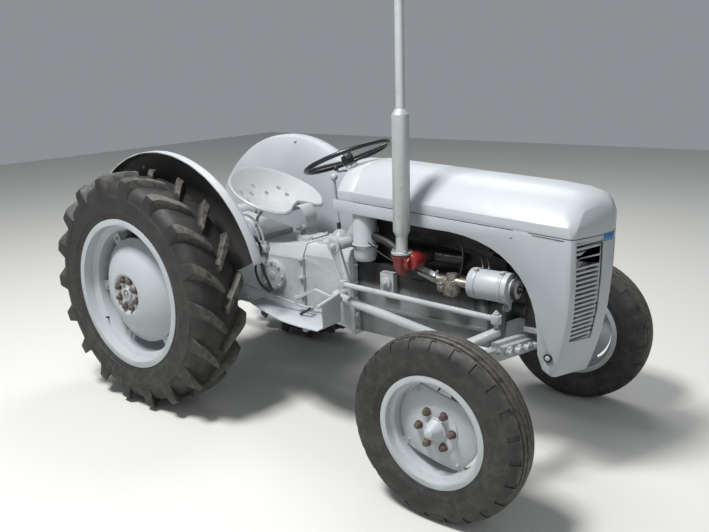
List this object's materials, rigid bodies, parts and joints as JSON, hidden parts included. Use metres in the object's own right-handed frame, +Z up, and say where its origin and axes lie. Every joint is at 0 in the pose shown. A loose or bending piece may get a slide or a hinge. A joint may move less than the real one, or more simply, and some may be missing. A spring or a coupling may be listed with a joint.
{
  "type": "tractor",
  "caption": "Small vintage farm tractor in worn grey paint with a tipping bonnet, open engine side, pan seat and rear lift linkage.",
  "frame": {"origin": "On the ground under the middle of the tractor's overall box: halfway between the nose and the rear ends of the lower links, on the middle plane.", "axes": "+X forward towards the nose, +Y the driver's left, +Z up."},
  "size_m": [2.905, 1.502, 2.15],
  "materials": {
    "paint": "worn light grey semi-gloss paint",
    "seat_paint": "worn near-white paint",
    "iron": "dark oily cast iron",
    "red_iron": "dull red heat-stained iron",
    "brass": "dull yellow metal casting",
    "silver": "bright bare steel, lightly stained",
    "black": "hard black rim covering",
    "tyre": "dusty brown-black rubber"
  },
  "bodies": {
    "chassis": {"transmission_case": "paint", "rear_axle_case": "paint", "lift_cover": "paint", "engine_block": "iron", "manifold": "red_iron", "carburettor": "brass", "dynamo": "paint", "air_cleaner": "paint", "exhaust_stack": "silver", "radiator": "iron", "fan": "iron", "front_support": "paint", "front_axle": "paint", "radius_rods": "paint", "steering_box": "paint", "dash_panel": "paint", "fuel_tank": "paint", "footboards": "paint", "controls": "paint", "mudguards": "paint", "seat_pan": "seat_paint", "seat_spring": "paint"},
    "bonnet": {"bonnet_top": "paint", "bonnet_cowl": "paint", "grille": "paint"},
    "steering_wheel": {"steering_wheel": "black"},
    "lift_arms": {"lift_arms": "paint"},
    "rear_wheel_l": {"rear_wheel_l": "paint", "rear_tyre_l": "tyre"},
    "front_wheel_l": {"front_wheel_l": "paint", "front_tyre_l": "tyre"},
    "knuckle_l": {"knuckle_l": "paint"},
    "drop_arm_l": {"drop_arm_l": "paint"},
    "drag_link_l": {"drag_link_l": "paint"},
    "lower_link_l": {"lower_link_l": "paint"},
    "lift_rod_l": {"lift_rod_l": "paint"},
    "rear_wheel_r": {"rear_wheel_r": "paint", "rear_tyre_r": "tyre"},
    "front_wheel_r": {"front_wheel_r": "paint", "front_tyre_r": "tyre"},
    "knuckle_r": {"knuckle_r": "paint"},
    "drop_arm_r": {"drop_arm_r": "paint"},
    "drag_link_r": {"drag_link_r": "paint"},
    "lower_link_r": {"lower_link_r": "paint"},
    "lift_rod_r": {"lift_rod_r": "paint"}
  },
  "joints": [
    {"name": "rear_wheel_spin_l", "type": "hinge", "parent": "chassis", "child": "rear_wheel_l", "pos_m": [-0.7025, 0.61, 0.602], "axis": [0, 1, 0], "continuous": true},
    {"name": "rear_wheel_spin_r", "type": "hinge", "parent": "chassis", "child": "rear_wheel_r", "pos_m": [-0.7025, -0.61, 0.602], "axis": [0, 1, 0], "continuous": true},
    {"name": "steer_l", "type": "hinge", "parent": "chassis", "child": "knuckle_l", "pos_m": [1.0755, 0.52, 0.56], "axis": [0, 0, 1], "range_deg": [-30, 30]},
    {"name": "steer_r", "type": "hinge", "parent": "chassis", "child": "knuckle_r", "pos_m": [1.0755, -0.52, 0.56], "axis": [0, 0, 1], "range_deg": [-30, 30]},
    {"name": "front_wheel_spin_l", "type": "hinge", "parent": "knuckle_l", "child": "front_wheel_l", "pos_m": [1.0755, 0.665, 0.365], "axis": [0, 1, 0], "continuous": true},
    {"name": "front_wheel_spin_r", "type": "hinge", "parent": "knuckle_r", "child": "front_wheel_r", "pos_m": [1.0755, -0.665, 0.365], "axis": [0, 1, 0], "continuous": true},
    {"name": "steering_column", "type": "hinge", "parent": "chassis", "child": "steering_wheel", "pos_m": [0.1455, 0, 1.246], "axis": [-0.3939, 0, 0.9191], "range_deg": [-360, 360]},
    {"name": "drop_arm_swing_l", "type": "hinge", "parent": "chassis", "child": "drop_arm_l", "pos_m": [0.2825, 0.285, 0.88], "axis": [0, 1, 0], "range_deg": [-20, 20]},
    {"name": "drop_arm_swing_r", "type": "hinge", "parent": "chassis", "child": "drop_arm_r", "pos_m": [0.2825, -0.285, 0.88], "axis": [0, 1, 0], "range_deg": [-20, 20]},
    {"name": "drag_link_swing_l", "type": "hinge", "parent": "drop_arm_l", "child": "drag_link_l", "pos_m": [0.3495, 0.312, 0.716], "axis": [0, 0.9834, 0.1815], "range_deg": [-20, 20]},
    {"name": "drag_link_swing_r", "type": "hinge", "parent": "drop_arm_r", "child": "drag_link_r", "pos_m": [0.3495, -0.312, 0.716], "axis": [0, 0.9834, -0.1815], "range_deg": [-20, 20]},
    {"name": "bonnet_tilt", "type": "hinge", "parent": "chassis", "child": "bonnet", "pos_m": [1.3015, 0, 0.54], "axis": [0, 1, 0], "range_deg": [0, 60]},
    {"name": "lift", "type": "hinge", "parent": "chassis", "child": "lift_arms", "pos_m": [-0.7625, 0, 0.862], "axis": [0, 1, 0], "range_deg": [-24, 42]},
    {"name": "lower_link_lift_l", "type": "hinge", "parent": "chassis", "child": "lower_link_l", "pos_m": [-0.5725, 0.252, 0.372], "axis": [0, 1, 0], "range_deg": [-15, 26]},
    {"name": "lower_link_lift_r", "type": "hinge", "parent": "chassis", "child": "lower_link_r", "pos_m": [-0.5725, -0.252, 0.372], "axis": [0, 1, 0], "range_deg": [-15, 26]},
    {"name": "lift_rod_swing_l", "type": "hinge", "parent": "lift_arms", "child": "lift_rod_l", "pos_m": [-1.0245, 0.262, 0.848], "axis": [0, 1, 0], "range_deg": [-42, 24]},
    {"name": "lift_rod_swing_r", "type": "hinge", "parent": "lift_arms", "child": "lift_rod_r", "pos_m": [-1.0245, -0.262, 0.848], "axis": [0, 1, 0], "range_deg": [-42, 24]}
  ],
  "couplings": [
    {"joint": "steer_r", "follows": "steer_l", "ratio": 1},
    {"joint": "steering_column", "follows": "steer_l", "ratio": 12},
    {"joint": "drop_arm_swing_l", "follows": "steer_l", "ratio": -0.63},
    {"joint": "drop_arm_swing_r", "follows": "steer_l", "ratio": 0.63},
    {"joint": "drag_link_swing_l", "follows": "steer_l", "ratio": 0.661},
    {"joint": "drag_link_swing_r", "follows": "steer_l", "ratio": -0.661},
    {"joint": "lower_link_lift_l", "follows": "lift", "ratio": 0.6},
    {"joint": "lower_link_lift_r", "follows": "lift", "ratio": 0.6},
    {"joint": "lift_rod_swing_l", "follows": "lift", "ratio": -1},
    {"joint": "lift_rod_swing_r", "follows": "lift", "ratio": -1}
  ]
}
